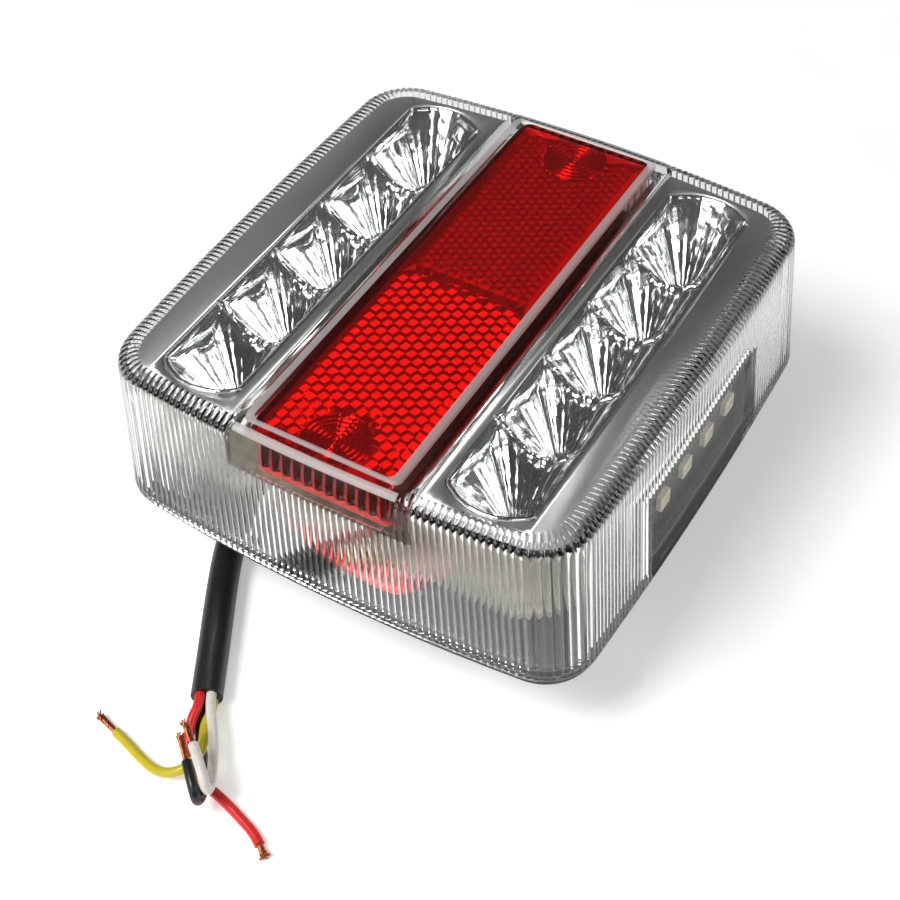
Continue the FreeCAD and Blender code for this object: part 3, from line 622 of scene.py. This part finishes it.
plan, levels, plan_edges = [], [], []
for flats, low_x, high_x in ((near_cube, -field_half[0], field_change),
                            (far_cube, field_change, field_half[0])):
    places, heights, edges = cube_field(flats, low_x, high_x)
    plan_edges += [(a + len(plan), b + len(plan)) for a, b in edges]
    plan += places
    levels += heights
for sign in (-1, 1):
    for ring in range(2 * target_rings + 1):
        radius = target_radius * ring / (2 * target_rings)
        height = prism_height - (ring_depth if ring % 2 else 0.0)
        count = 40 if ring else 1
        start = len(plan)
        for number in range(count):
            turn = math.tau * number / count
            far = min(target_place + radius * math.cos(turn), inner_half[0] - 0.2)
            plan.append(Vector((sign * far, radius * math.sin(turn))))
            levels.append(height)
            if ring:
                plan_edges.append((start + number, start + (number + 1) % count))
outer_start = len(plan)
for x, y in round_rectangle(*inner_half, 0.8, steps=3):
    plan.append(Vector((x, y)))
    levels.append(prism_height)
outer_count = len(plan) - outer_start
plan_edges += [(outer_start + n, outer_start + (n + 1) % outer_count) for n in range(outer_count)]
flat_points, _, flat_faces, sources, _, _ = delaunay_2d_cdt(plan, plan_edges, [], 0, 1e-4)
reflector_points = [(point.x, point.y, levels[source[0]] if source else prism_height)
                    for point, source in zip(flat_points, sources)]
reflector_faces = []
for face in flat_faces:
    a, b, c = (flat_points[number] for number in face)
    anticlockwise = (b - a).cross(c - a) > 0
    reflector_faces.append(tuple(face[::-1]) if anticlockwise else tuple(face))
outer_of = {source: number for number, found in enumerate(sources) for source in found}
top_loop = [outer_of[outer_start + n] for n in range(outer_count)]

# the box round the prisms: inner wall, foot, outer wall and the smooth top
inner_foot = len(reflector_points)
reflector_points += [(*flat_points[number], reflector_low.z) for number in top_loop]
for number in range(outer_count):
    following = (number + 1) % outer_count
    reflector_faces.append((top_loop[number], top_loop[following],
                            inner_foot + following, inner_foot + number))
end_flutes = 11
flute_depth = 0.5


def fluted_outline(grow, depth):
    """The box's outline with upright V grooves across its two short ends."""
    half_x, half_y = reflector_high.x + grow, reflector_high.y + grow
    corners = round_rectangle(half_x, half_y, reflector_corner, steps=3)
    steps = 2 * end_flutes
    reach = half_y - reflector_corner
    outline = []
    for number in range(4):
        outline += corners[4 * number:4 * number + 4]
        if number in (1, 3):
            sign = -1 if number == 1 else 1
            for step in range(1, steps):
                inward = depth if step % 2 else 0.0
                outline.append((sign * (half_x - inward), sign * (2 * step / steps - 1) * reach))
    return outline


outer_loops = []
for height, grow, depth in ((reflector_low.z, 0.0, flute_depth), (reflector_top - 0.9, 0.0, flute_depth),
                            (reflector_top - 0.85, 0.0, 0.0), (reflector_top - 0.25, 0.0, 0.0),
                            (reflector_top, -0.25, 0.0)):
    loop = fluted_outline(grow, depth)
    outer_loops.append(range(len(reflector_points), len(reflector_points) + len(loop)))
    reflector_points += [(x, y, height) for x, y in loop]
foot_loop = range(inner_foot, inner_foot + outer_count)
reflector_faces += filled([outer_loops[0], foot_loop], reflector_points, False)
for lower, upper in zip(outer_loops, outer_loops[1:]):
    reflector_faces += strip_faces(lower[0], upper[0], len(lower))
reflector_faces.append(tuple(outer_loops[-1]))
reflector_red = clear_plastic("reflector red", (0.76, 0.008, 0.004, 1.0), 0.03)
add_flow_ripple(reflector_red, 6.0, 0.015)
facet_metal = plain_finish("reflector facets", (0.84, 0.6, 0.6, 1.0), 0.05, Metallic=0.86)
add_flow_ripple(facet_metal, 1.5, 0.004)
reflector = piece("reflector", reflector_points, reflector_faces, reflector_red)
reflector.data.materials.append(facet_metal)
# One face of each V groove across the reflector's ends is an opaque dark red: painted shade on that side of
# the groove.
flute_painted_shade = plain_finish("flute painted shade", (0.3, 0.008, 0.006, 1.0), 0.16)
add_flow_ripple(flute_painted_shade, 1.5, 0.004)
reflector.data.materials.append(flute_painted_shade)
# The fine field's facets are a darker metal than the coarse field's: painted shade for their weaker
# reflection back to the front.
far_metal_painted_darker = plain_finish("fine reflector facets painted darker", (0.74, 0.5, 0.5, 1.0), 0.16, Metallic=0.86)
add_flow_ripple(far_metal_painted_darker, 1.5, 0.004)
reflector.data.materials.append(far_metal_painted_darker)
border_red = plain_finish("border red", (0.62, 0.4, 0.4, 1.0), 0.6)
add_flow_ripple(border_red, 1.5, 0.01)
reflector.data.materials.append(border_red)
# finishes of the box by number: 0 clear red, 1 coarse facets, 2 painted shade on one face of each end
# flute, 3 fine facets painted darker, 4 flat border
for face in reflector.data.polygons[:len(flat_faces)]:
    if abs(face.normal.z) > 0.999:
        face.material_index = 4
    else:
        face.material_index = 3 if face.center.x > field_change * MM else 1
# end groove faces that turn one way get the painted shade
for face in reflector.data.polygons[len(flat_faces):]:
    on_end = abs(face.normal.x) > 0.5 and abs(face.center.x) > 0.047
    below_lip = face.center.z < (reflector_top - 1) * MM
    if on_end and below_lip and face.normal.x * face.normal.y < -0.05:
        face.material_index = 2
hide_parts("red_reflector")


# Two reflector banks. ABS vacuum-metallised with aluminium: five cups each, sunk below a satin flange, with
# a plain panel and two narrow ones facing the long sides of the window and rows of small pillows elsewhere.
cup_pitch = 16.5
cup_places = [cup_pitch * (number - 2) for number in range(5)]
hole_r, cup_r = 2.3, 12.0
cup_foot, bank_top = 15.0, face_height - face_wall - 0.2
window_half = 8.55
window_centre = 29.35
window_turn = math.asin(window_half / cup_r)
pillow_rise = 0.08
pillow_rows = 6
fine_steps = 4
slope_top_y, slope_low_y, slope_low_z = 18.9, 16.1, 28.6
panels = [(0.0, 12.5), (12.5, 25.0), (25.0, 37.5), (37.5, 48.0), (48.0, 55.0), (55.0, 62.0),
          (62.0, 128.0), (128.0, 141.0), (141.0, 154.0), (154.0, 167.0), (167.0, 180.0)]
plain_panels = {(48.0, 55.0), (55.0, 62.0), (62.0, 128.0)}


def cup_surface():
    """One cup round its own axis, with its window side walls, as a bmesh in millimetres."""
    made = bmesh.new()
    columns = []
    for low, high in panels:
        middle, half = (low + high) / 2, (high - low) / 2
        for step in range(fine_steps):
            turn = low + (high - low) * step / fine_steps
            chord = math.cos(math.radians(half)) / math.cos(math.radians(turn - middle))
            swell = 0.0 if (low, high) in plain_panels else math.sin(math.pi * step / fine_steps)
            columns.append((math.radians(turn), chord, swell))
    other_side = [(-turn, chord, swell) for turn, chord, swell in columns[1:]]
    columns = columns + [(math.pi, 1.0, 0.0)] + other_side[::-1]
    rows = []
    for level in range(pillow_rows * fine_steps + 1):
        share = level / (pillow_rows * fine_steps)
        radius = hole_r + (cup_r - hole_r) * share
        height = cup_foot + (bank_top - cup_foot) * share
        ring_swell = math.sin(math.pi * (level % fine_steps) / fine_steps)
        row = []
        for turn, chord, swell in columns:
            reach = radius * (chord if level else 1.0) - pillow_rise * swell * ring_swell
            row.append(made.verts.new((reach * math.cos(turn), reach * math.sin(turn), height)))
        rows.append(row)
    foot = [made.verts.new((point.co.x, point.co.y, cup_foot - 0.9)) for point in rows[0]]
    rows.insert(0, foot)
    for lower, upper in zip(rows, rows[1:]):
        for number in range(len(columns)):
            following = (number + 1) % len(columns)
            made.faces.new((lower[number], upper[number], upper[following], lower[following]))
    return made


def cut_cup(made, plane, limit):
    bmesh.ops.bisect_plane(made, geom=made.verts[:] + made.edges[:] + made.faces[:],
                           plane_co=Vector(plane) * limit, plane_no=plane, clear_outer=True)


def grow_edge(made, axis, limit, height, by=0.0):
    """Carry the cut edge at a side up to a height, or down by an amount."""
    edges = [edge for edge in made.edges if edge.is_boundary
             and all(abs(point.co[axis] - limit) < 1e-3 for point in edge.verts)]
    grown = bmesh.ops.extrude_edge_only(made, edges=edges)["geom"]
    for point in (item for item in grown if isinstance(item, bmesh.types.BMVert)):
        point.co.z = height if height is not None else point.co.z - by


chrome = plain_finish("bank chrome", (0.8, 0.81, 0.8, 1.0), 0.09, Metallic=1.0)
add_flow_ripple(chrome, 2.2, 0.004)
satin = plain_finish("bank satin", (0.4, 0.4, 0.39, 1.0), 0.36, Metallic=0.9)
add_grain(satin, 0.35, (0.38, 0.38, 0.37, 1.0), (0.42, 0.42, 0.41, 1.0), 0.33, 0.4, 0.001)
for side, bank_name, node in ((-1, "stop_tail_bank", "stop_tail_reflector"),
                              (1, "indicator_bank", "indicator_reflector")):
    bank = bmesh.new()
    for number, place in enumerate(cup_places):
        cup = cup_surface()
        for axis, limit in ((0, cup_pitch / 2), (1, window_half)):
            for sign in (-1, 1):
                outer_end = axis == 0 and number == (0 if sign < 0 else len(cup_places) - 1)
                if outer_end:
                    continue
                plane = (sign, 0, 0) if axis == 0 else (0, sign, 0)
                cut_cup(cup, plane, limit)
        for sign in (-1, 1):
            grow_edge(cup, 1, sign * window_half, bank_top)
            grow_edge(cup, 0, sign * cup_pitch / 2, None, by=1.2)
        bmesh.ops.translate(cup, verts=cup.verts, vec=(place, side * window_centre, 0))
        part = bpy.data.meshes.new("cup")
        cup.to_mesh(part)
        cup.free()
        bank.from_mesh(part)
        bpy.data.meshes.remove(part)
    bmesh.ops.remove_doubles(bank, verts=bank.verts, dist=0.002)
    # flange round the window: its hole is made of the cups' own top points
    centre = Vector((0, side * window_centre))
    rim_points = []
    for sign in (1, -1):
        for step in range(17):
            turn = sign * window_turn * (step / 8 - 1)
            rim_points.append(bank.verts.new((sign * (cup_places[-1] + cup_r * math.cos(turn)),
                                              centre.y + cup_r * math.sin(turn), bank_top)))
    outline = [point for point, _ in lens_ring(bank_top, 3.5, (20, 12, 20)) if point.y * side > slope_top_y]
    reach_x = max(point.x for point in outline)
    outline += [Vector((-reach_x, side * slope_top_y)), Vector((reach_x, side * slope_top_y))]
    outline.sort(key=lambda point: math.atan2(point.y - centre.y, point.x - centre.x))
    edge_points = [bank.verts.new((point.x, point.y, bank_top)) for point in outline]
    loops = edge_points + rim_points
    spans = [range(len(edge_points)), range(len(edge_points), len(loops))]
    for face in filled(spans, [tuple(point.co) for point in loops], True):
        flange_face = bank.faces.new([loops[number] for number in face])
        flange_face.material_index = 1
    top = [bank.verts.new((x, side * slope_top_y, bank_top)) for x in (-reach_x, reach_x)]
    low = [bank.verts.new((x, side * slope_low_y, slope_low_z)) for x in (-reach_x, reach_x)]
    bank.faces.new((top[0], low[0], low[1], top[1]) if side > 0 else (top[1], low[1], low[0], top[0]))
    bmesh.ops.recalc_face_normals(bank, faces=bank.faces)
    for point in bank.verts:
        point.co *= MM
    bank_mesh = bpy.data.meshes.new(bank_name)
    bank.to_mesh(bank_mesh)
    bank.free()
    bank_mesh.shade_smooth()
    bank_mesh.set_sharp_from_angle(angle=math.radians(16))
    bank_mesh.materials.append(chrome)
    bank_mesh.materials.append(satin)
    bank_piece = bpy.data.objects.new(bank_name, bank_mesh)
    bpy.context.scene.collection.objects.link(bank_piece)
    shell = bank_piece.modifiers.new("wall", "SOLIDIFY")
    shell.thickness = 0.0009
    shell.offset = -1.0
    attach(bank_piece, "lamp")
    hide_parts(node)


# LEDs of the two banks. Clear 3 mm epoxy domes on the board, one at the bottom of each cup; the
# moulded plastic is glossy, with a faint cloudy grain.
def dress(node, finish, bevel=0.0):
    """Give a carried-over node its finish, and round its moulded or machined edges if asked."""
    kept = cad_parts[node]
    kept.material_slots[0].link = "OBJECT"
    kept.material_slots[0].material = finish
    if bevel:
        rounding = kept.modifiers.new("edges", "BEVEL")
        rounding.width = bevel * MM
        rounding.segments = 2
        rounding.limit_method = "ANGLE"
        rounding.angle_limit = math.radians(40)
    return kept


led_epoxy = plain_finish("led epoxy", paint(226, 226, 214), 0.12, Transmission_Weight=0.92, IOR=1.5)
add_grain(led_epoxy, 1.1, paint(196, 198, 190), paint(226, 228, 222), 0.08, 0.2, 0.004)
for node in ("stop_tail_leds", "indicator_leds"):
    dress(node, led_epoxy)


# LED board. One sheet of paper-based laminate with a dull grey-brown face lies under both banks. Four
# zinc-plated screws hold it down on posts of the back plate.
board_laminate = plain_finish("board laminate", paint(118, 114, 100), 0.55)
add_grain(board_laminate, 2.4, paint(104, 101, 88), paint(132, 128, 114), 0.48, 0.66, 0.012)
dress("led_board", board_laminate, bevel=0.15)
screw_zinc = plain_finish("screw zinc", paint(186, 188, 190), 0.32, Metallic=1.0)
add_grain(screw_zinc, 0.5, paint(170, 172, 176), paint(200, 202, 204), 0.24, 0.44, 0.008)
dress("board_screws", screw_zinc, bevel=0.12)


# Small parts on the board. Thick-film resistors and moulded diodes sit on its face, the smoothing
# capacitor's aluminium can hangs under it, and the leads end in blobs of solder.
chip_ceramic = plain_finish("chip ceramic", paint(32, 32, 34), 0.5)
add_grain(chip_ceramic, 0.3, paint(26, 26, 28), paint(42, 42, 44), 0.42, 0.6, 0.006)
dress("resistors", chip_ceramic, bevel=0.08)
diode_epoxy = plain_finish("diode epoxy", paint(24, 25, 27), 0.38)
add_grain(diode_epoxy, 0.25, paint(20, 21, 23), paint(32, 33, 35), 0.3, 0.5, 0.01)
dress("diodes", diode_epoxy, bevel=0.2)
can_metal = plain_finish("can aluminium", paint(196, 198, 200), 0.3, Metallic=1.0)
add_grain(can_metal, 1.6, paint(184, 186, 190), paint(208, 210, 212), 0.22, 0.42, 0.006)
dress("capacitor", can_metal, bevel=0.1)
solder_tin = plain_finish("solder tin", paint(190, 192, 194), 0.28, Metallic=1.0)
add_grain(solder_tin, 0.8, paint(172, 174, 178), paint(204, 206, 208), 0.18, 0.42, 0.02)
dress("solder_joints", solder_tin)


# Closing plate of the reflector. A pale moulded plastic plate is welded to the foot of the red box to keep
# water off its prisms;
# its reddish colour is painted light, the red that comes through the box above it.
backing_painted_red_light = plain_finish("backing pale painted red light", paint(176, 60, 54), 0.5)
add_grain(backing_painted_red_light, 1.2, paint(164, 50, 45), paint(188, 70, 62), 0.42, 0.58, 0.01)
dress("reflector_backing", backing_painted_red_light, bevel=0.15)


# Number-plate light. Four square white LEDs, each with a yellow phosphor in a round well, stand in a row
# on an upright board. The board is masked black and shines out through the smooth window.
mask_black = plain_finish("mask black", paint(30, 28, 27), 0.46)
add_grain(mask_black, 1.8, paint(25, 23, 22), paint(38, 36, 34), 0.38, 0.56, 0.01)
dress("plate_light_board", mask_black, bevel=0.1)
lead_copper = plain_finish("lead copper", paint(192, 160, 120), 0.3, Metallic=1.0)
add_grain(lead_copper, 0.6, paint(178, 148, 110), paint(204, 176, 138), 0.22, 0.42, 0.006)
dress("plate_board_leads", lead_copper)
package_cream = plain_finish("package cream", paint(212, 206, 186), 0.4)
add_grain(package_cream, 0.7, paint(204, 198, 178), paint(220, 214, 196), 0.32, 0.5, 0.006)
phosphor_yellow = plain_finish("phosphor yellow", paint(208, 200, 44), 0.3, Subsurface_Weight=0.2,
                               Subsurface_Scale=0.0004)
add_grain(phosphor_yellow, 0.4, paint(198, 190, 34), paint(220, 212, 66), 0.22, 0.4, 0.004)
plate_led_size = 3.5
plate_led_pitch = 8.9
well_r, well_deep = 1.42, 0.28
edge_round = 0.08
plate_low, plate_high = (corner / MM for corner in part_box("plate_leds"))
led_points, led_faces, led_looks = [], [], []
led_half = plate_led_size / 2
for number in range(4):
    centre_x = plate_low.x + led_half + plate_led_pitch * number
    centre_z = (plate_low.z + plate_high.z) / 2
    # outline loops from the back edge round the front to the middle of the phosphor well
    square = round_rectangle(led_half, led_half, 0.25, steps=5)
    front = round_rectangle(led_half - edge_round, led_half - edge_round, 0.25, steps=5)
    around_well = [(well_r * x / math.hypot(x, y), well_r * y / math.hypot(x, y)) for x, y in square]
    well_floor = [(0.93 * x, 0.93 * y) for x, y in around_well]
    phosphor_top = [(0.5 * x, 0.5 * y) for x, y in around_well]
    loops = [(square, plate_high.y), (square, plate_low.y + edge_round), (front, plate_low.y),
             (around_well, plate_low.y), (well_floor, plate_low.y + well_deep),
             (phosphor_top, plate_low.y + well_deep - 0.06)]
    base = len(led_points)
    for loop, y in loops:
        led_points += [(centre_x + x, y, centre_z + z) for x, z in loop]
    for level in range(len(loops) - 1):
        ring = strip_faces(base + level * len(square), base + (level + 1) * len(square), len(square))
        led_faces += ring
        led_looks += [1 if level == 4 else 0] * len(ring)
    led_faces.append(tuple(range(base, base + len(square)))[::-1])
    led_looks.append(0)
    led_faces.append(tuple(range(base + 5 * len(square), base + 6 * len(square))))
    led_looks.append(1)
plate_led_piece = piece("plate_light_leds", led_points, led_faces, package_cream, smooth_angle=30)
plate_led_piece.data.materials.append(phosphor_yellow)
for face, look in zip(plate_led_piece.data.polygons, led_looks):
    face.material_index = look
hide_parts("plate_leds")


# Back plate. Black polypropylene moulding with a finely sparked texture; it carries the studs, the posts
# for the boards and the grommet, and the lens is bonded to it over a bead of grey sealant.
plate_black = plain_finish("plate black", paint(30, 31, 32), 0.5)
add_grain(plate_black, 0.55, paint(24, 25, 26), paint(38, 39, 40), 0.42, 0.62, 0.02)
dress("back_plate", plate_black, bevel=0.25)
sealant_grey = plain_finish("sealant grey", paint(150, 152, 150), 0.42)
add_grain(sealant_grey, 1.4, paint(138, 140, 138), paint(164, 166, 164), 0.34, 0.5, 0.03)
dress("rim_seal", sealant_grey, bevel=0.1)


# Cable entry. An EPDM grommet pressed into the plate, the cable's black sheath inside, its four cores
# soldered to the board, and a natural nylon tie round them.
grommet_rubber = plain_finish("grommet rubber", paint(28, 28, 29), 0.66)
add_grain(grommet_rubber, 0.7, paint(23, 23, 24), paint(38, 38, 39), 0.58, 0.78, 0.02)
dress("cable_grommet", grommet_rubber, bevel=0.25)
dress("inner_sheath", sheath_black)
for colour in core_colours:
    dress(f"inner_lead_{colour}", core_finishes[colour])
tie_nylon = plain_finish("tie nylon", paint(226, 222, 208), 0.4, Transmission_Weight=0.15)
add_grain(tie_nylon, 0.8, paint(216, 212, 198), paint(234, 230, 218), 0.34, 0.5, 0.01)
dress("cable_tie", tie_nylon, bevel=0.2)


# Mounting studs. Two M5 steel bolts, zinc plated, are moulded into the back plate by their hexagon heads.
# A plain shank comes out of each boss, and below it runs a rolled thread with a chamfered tip.
thread_pitch = 0.8
thread_crest = 2.5
thread_root = 2.06
thread_steps = 24
shank_low = -4.0
stud_low, stud_high = (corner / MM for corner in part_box("mounting_studs"))
head_half = stud_high.y
stud_x = stud_high.x - 2 * head_half / math.sqrt(3)
stud_steel = plain_finish("stud steel", paint(178, 180, 178), 0.34, Metallic=1.0)
add_grain(stud_steel, 0.9, paint(160, 162, 162), paint(192, 193, 190), 0.26, 0.48, 0.006)


def stud_mesh(centre_x):
    """Head, collar, shank, helical thread and chamfered tip, as one closed surface."""
    points, faces = [], []

    def add_row(radii_heights):
        points.extend((centre_x + radius * math.cos(turn), radius * math.sin(turn), height)
                      for turn, radius, height in radii_heights)

    turns = [math.tau * number / thread_steps for number in range(thread_steps)]
    head_low, head_top = 2.0, stud_high.z
    for radius, height in ((2.5, shank_low + 0.4), (2.5, 0.0), (3.2, 0.0), (3.2, head_low)):
        add_row([(turn, radius, height) for turn in turns])
    for height in (head_low, head_top - 0.4, head_top):
        trim = 0.4 if height == head_top else 0.0
        hexagon = []
        for turn in turns:
            from_flat = (turn - math.pi / 6) % (math.pi / 3) - math.pi / 6
            hexagon.append((turn, head_half / max(math.cos(from_flat), 0.5) - trim, height))
        add_row(hexagon)
    upper_rows = 7
    for row in range(upper_rows - 1):
        faces.extend(strip_faces(row * thread_steps, (row + 1) * thread_steps, thread_steps))
    faces.append(tuple(range((upper_rows - 1) * thread_steps, upper_rows * thread_steps)))
    thread_base = len(points)
    length = shank_low - stud_low.z
    rows_per_turn = 8
    rows = int(length / thread_pitch * rows_per_turn)
    for row in range(rows + 1):
        height = shank_low - length * row / rows
        near_tip = max(0.0, 0.9 - (height - stud_low.z))
        line = []
        for turn in turns:
            phase = (height / thread_pitch + turn / math.tau) % 1.0
            ridge = 1 - abs(2 * phase - 1)
            ridge = min(max((ridge - 0.12) / 0.7, 0.0), 1.0)
            radius = thread_root + (thread_crest - thread_root) * ridge
            line.append((turn, min(radius, thread_crest - near_tip), height))
        add_row(line)
    for row in range(rows):
        faces.extend(strip_faces(thread_base + (row + 1) * thread_steps, thread_base + row * thread_steps,
                                 thread_steps))
    faces.extend(strip_faces(thread_base, 0, thread_steps))
    last = thread_base + rows * thread_steps
    faces.append(tuple(range(last, last + thread_steps))[::-1])
    return points, faces


stud_points, stud_faces = [], []
for centre_x in (-stud_x, stud_x):
    points, faces = stud_mesh(centre_x)
    stud_faces += [tuple(number + len(stud_points) for number in face) for face in faces]
    stud_points += points
studs = piece("studs", stud_points, stud_faces, stud_steel, smooth_angle=32)
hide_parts("mounting_studs")


# Fixings. A flat washer, a split spring washer and a nut for each stud, in bright zinc-plated steel; they
# slide along the studs to clamp a bracket.
fixing_zinc = plain_finish("fixing zinc", paint(190, 192, 194), 0.3, Metallic=1.0)
add_grain(fixing_zinc, 1.3, paint(172, 175, 180), paint(204, 204, 200), 0.22, 0.44, 0.008)
for side_name in ("left", "right"):
    dress(f"flat_washer_{side_name}", fixing_zinc, bevel=0.12)
    dress(f"spring_washer_{side_name}", fixing_zinc, bevel=0.1)
    dress(f"nut_{side_name}", fixing_zinc, bevel=0.15)
